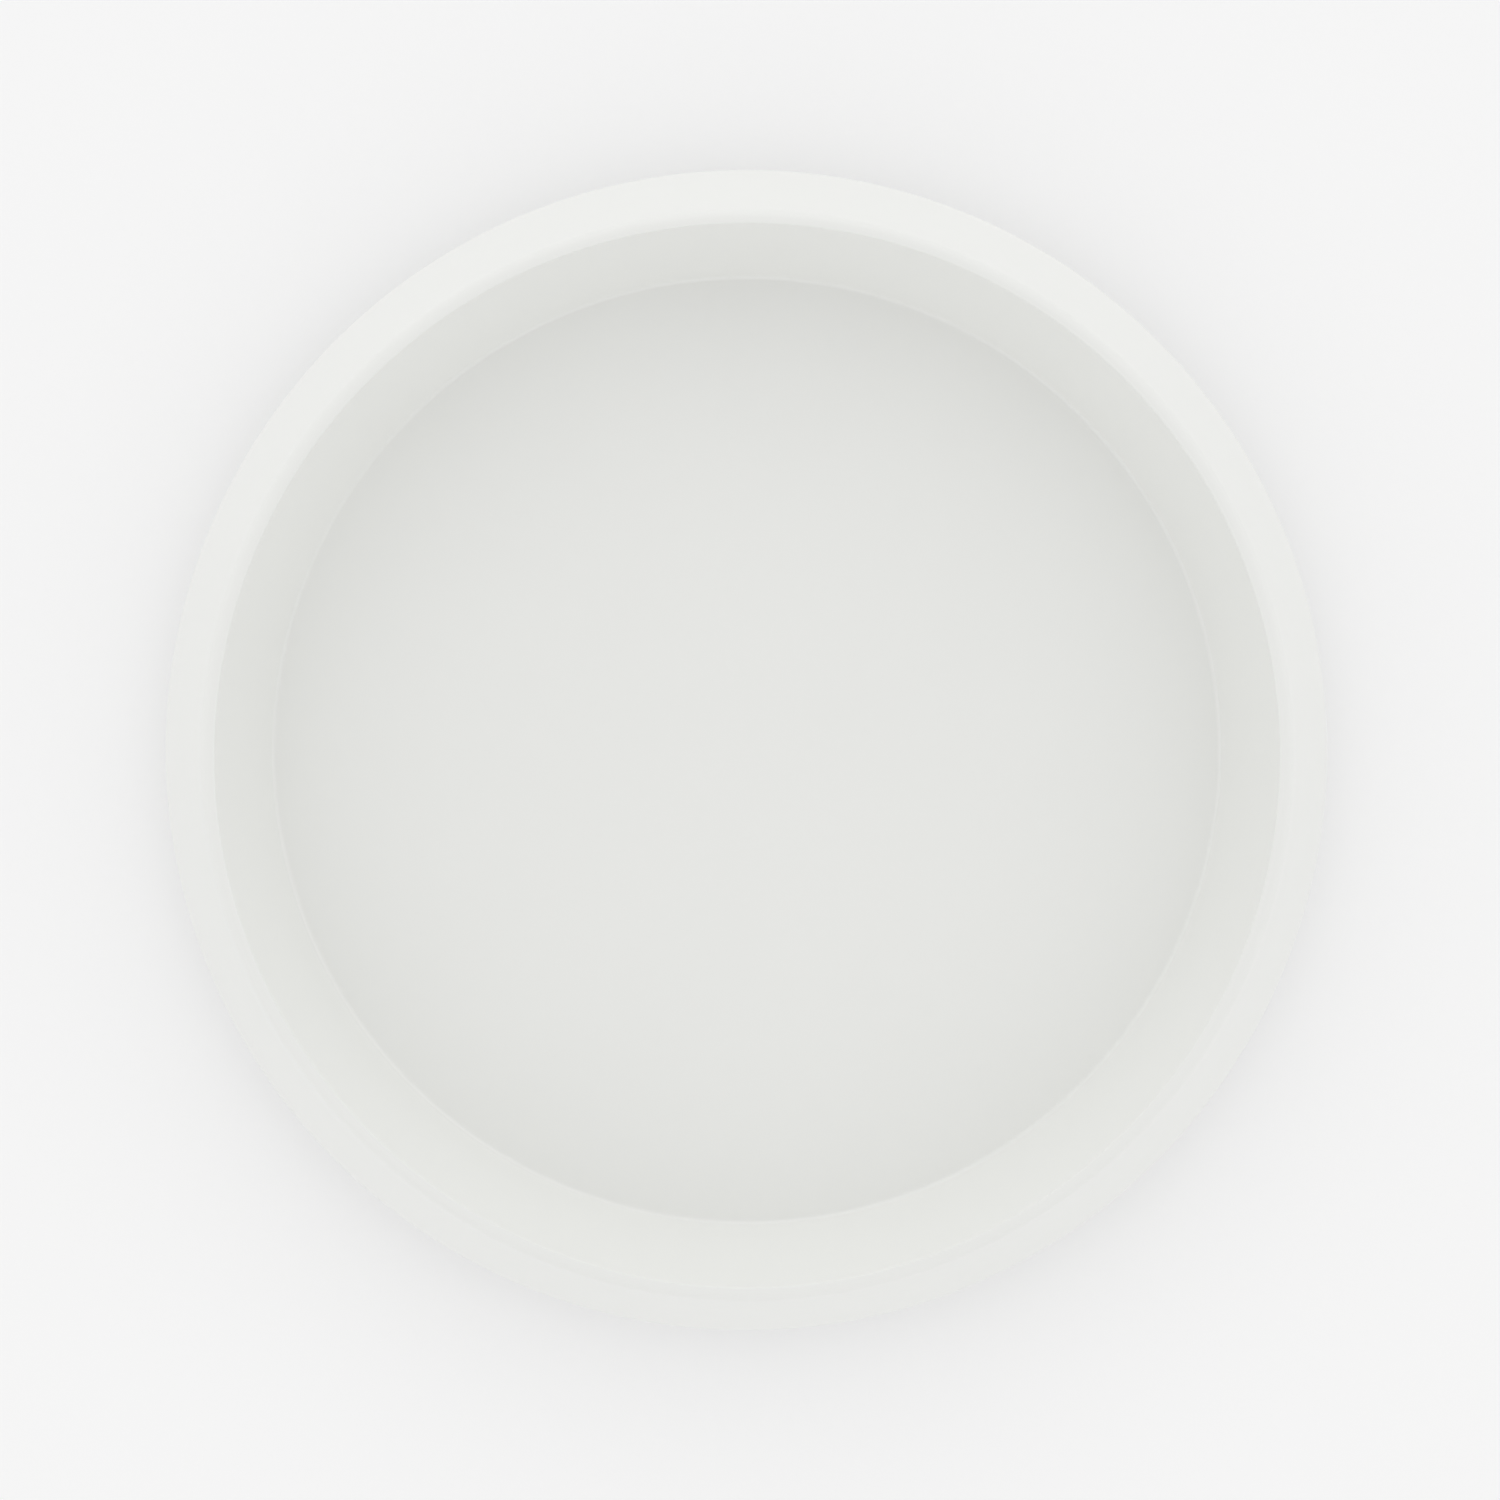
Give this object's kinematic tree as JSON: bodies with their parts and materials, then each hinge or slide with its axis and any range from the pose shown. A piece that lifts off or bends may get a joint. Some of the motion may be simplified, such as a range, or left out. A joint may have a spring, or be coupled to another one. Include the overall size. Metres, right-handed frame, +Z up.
{
  "type": "lazy susan turntable",
  "caption": "Round white turntable tray with a raised rim and sloping skirt, turning on caged steel balls over a low footed base, for jars and bottles in a cupboard.",
  "frame": {"origin": "on the turning axis, at the level of the surface that the rubber feet stand on", "axes": "+Z up along the turning axis; +X and +Y level, with one rubber foot and one ball on +X"},
  "size_m": [0.267, 0.267, 0.046],
  "materials": {
    "tray_plastic": "satin moulded polypropylene, fine even texture",
    "base_plastic": "satin moulded polypropylene",
    "bushing_plastic": "smooth natural acetal",
    "washer_plastic": "smooth natural nylon",
    "washer_steel": "bright zinc plated",
    "screw_steel": "bright zinc plated",
    "cage_plastic": "satin grey polypropylene",
    "ball_steel": "polished bearing steel",
    "foot_rubber": "matte soft rubber"
  },
  "bodies": {
    "base": {"base_plate": "base_plastic", "pivot_bushing": "bushing_plastic", "thrust_washer": "washer_plastic", "rubber_foot_1": "foot_rubber", "rubber_foot_2": "foot_rubber", "rubber_foot_3": "foot_rubber", "rubber_foot_4": "foot_rubber", "rubber_foot_5": "foot_rubber", "rubber_foot_6": "foot_rubber"},
    "tray": {"turntable_tray": "tray_plastic", "pivot_screw": "screw_steel", "clamp_washer": "washer_steel"},
    "cage": {"ball_cage": "cage_plastic"},
    "rolling_ball_01": {"ball_01": "ball_steel"},
    "rolling_ball_02": {"ball_02": "ball_steel"},
    "rolling_ball_03": {"ball_03": "ball_steel"},
    "rolling_ball_04": {"ball_04": "ball_steel"},
    "rolling_ball_05": {"ball_05": "ball_steel"},
    "rolling_ball_06": {"ball_06": "ball_steel"},
    "rolling_ball_07": {"ball_07": "ball_steel"},
    "rolling_ball_08": {"ball_08": "ball_steel"},
    "rolling_ball_09": {"ball_09": "ball_steel"},
    "rolling_ball_10": {"ball_10": "ball_steel"},
    "rolling_ball_11": {"ball_11": "ball_steel"},
    "rolling_ball_12": {"ball_12": "ball_steel"}
  },
  "joints": [
    {"name": "tray_spin", "type": "hinge", "parent": "base", "child": "tray", "pos_m": [0, 0, 0.009], "axis": [0, 0, 1], "continuous": true},
    {"name": "cage_spin", "type": "hinge", "parent": "base", "child": "cage", "pos_m": [0, 0, 0.01045], "axis": [0, 0, 1], "continuous": true},
    {"name": "ball_01_roll", "type": "hinge", "parent": "cage", "child": "rolling_ball_01", "pos_m": [0.072, 0, 0.01045], "axis": [1, 0, 0], "continuous": true},
    {"name": "ball_02_roll", "type": "hinge", "parent": "cage", "child": "rolling_ball_02", "pos_m": [0.06235, 0.036, 0.01045], "axis": [0.866, 0.5, 0], "continuous": true},
    {"name": "ball_03_roll", "type": "hinge", "parent": "cage", "child": "rolling_ball_03", "pos_m": [0.036, 0.06235, 0.01045], "axis": [0.5, 0.866, 0], "continuous": true},
    {"name": "ball_04_roll", "type": "hinge", "parent": "cage", "child": "rolling_ball_04", "pos_m": [0, 0.072, 0.01045], "axis": [0, 1, 0], "continuous": true},
    {"name": "ball_05_roll", "type": "hinge", "parent": "cage", "child": "rolling_ball_05", "pos_m": [-0.036, 0.06235, 0.01045], "axis": [-0.5, 0.866, 0], "continuous": true},
    {"name": "ball_06_roll", "type": "hinge", "parent": "cage", "child": "rolling_ball_06", "pos_m": [-0.06235, 0.036, 0.01045], "axis": [-0.866, 0.5, 0], "continuous": true},
    {"name": "ball_07_roll", "type": "hinge", "parent": "cage", "child": "rolling_ball_07", "pos_m": [-0.072, 0, 0.01045], "axis": [-1, 0, 0], "continuous": true},
    {"name": "ball_08_roll", "type": "hinge", "parent": "cage", "child": "rolling_ball_08", "pos_m": [-0.06235, -0.036, 0.01045], "axis": [-0.866, -0.5, 0], "continuous": true},
    {"name": "ball_09_roll", "type": "hinge", "parent": "cage", "child": "rolling_ball_09", "pos_m": [-0.036, -0.06235, 0.01045], "axis": [-0.5, -0.866, 0], "continuous": true},
    {"name": "ball_10_roll", "type": "hinge", "parent": "cage", "child": "rolling_ball_10", "pos_m": [0, -0.072, 0.01045], "axis": [0, -1, 0], "continuous": true},
    {"name": "ball_11_roll", "type": "hinge", "parent": "cage", "child": "rolling_ball_11", "pos_m": [0.036, -0.06235, 0.01045], "axis": [0.5, -0.866, 0], "continuous": true},
    {"name": "ball_12_roll", "type": "hinge", "parent": "cage", "child": "rolling_ball_12", "pos_m": [0.06235, -0.036, 0.01045], "axis": [0.866, -0.5, 0], "continuous": true}
  ],
  "couplings": [
    {"joint": "cage_spin", "follows": "tray_spin", "ratio": 0.5},
    {"joint": "ball_01_roll", "follows": "tray_spin", "ratio": -12},
    {"joint": "ball_02_roll", "follows": "tray_spin", "ratio": -12},
    {"joint": "ball_03_roll", "follows": "tray_spin", "ratio": -12},
    {"joint": "ball_04_roll", "follows": "tray_spin", "ratio": -12},
    {"joint": "ball_05_roll", "follows": "tray_spin", "ratio": -12},
    {"joint": "ball_06_roll", "follows": "tray_spin", "ratio": -12},
    {"joint": "ball_07_roll", "follows": "tray_spin", "ratio": -12},
    {"joint": "ball_08_roll", "follows": "tray_spin", "ratio": -12},
    {"joint": "ball_09_roll", "follows": "tray_spin", "ratio": -12},
    {"joint": "ball_10_roll", "follows": "tray_spin", "ratio": -12},
    {"joint": "ball_11_roll", "follows": "tray_spin", "ratio": -12},
    {"joint": "ball_12_roll", "follows": "tray_spin", "ratio": -12}
  ]
}
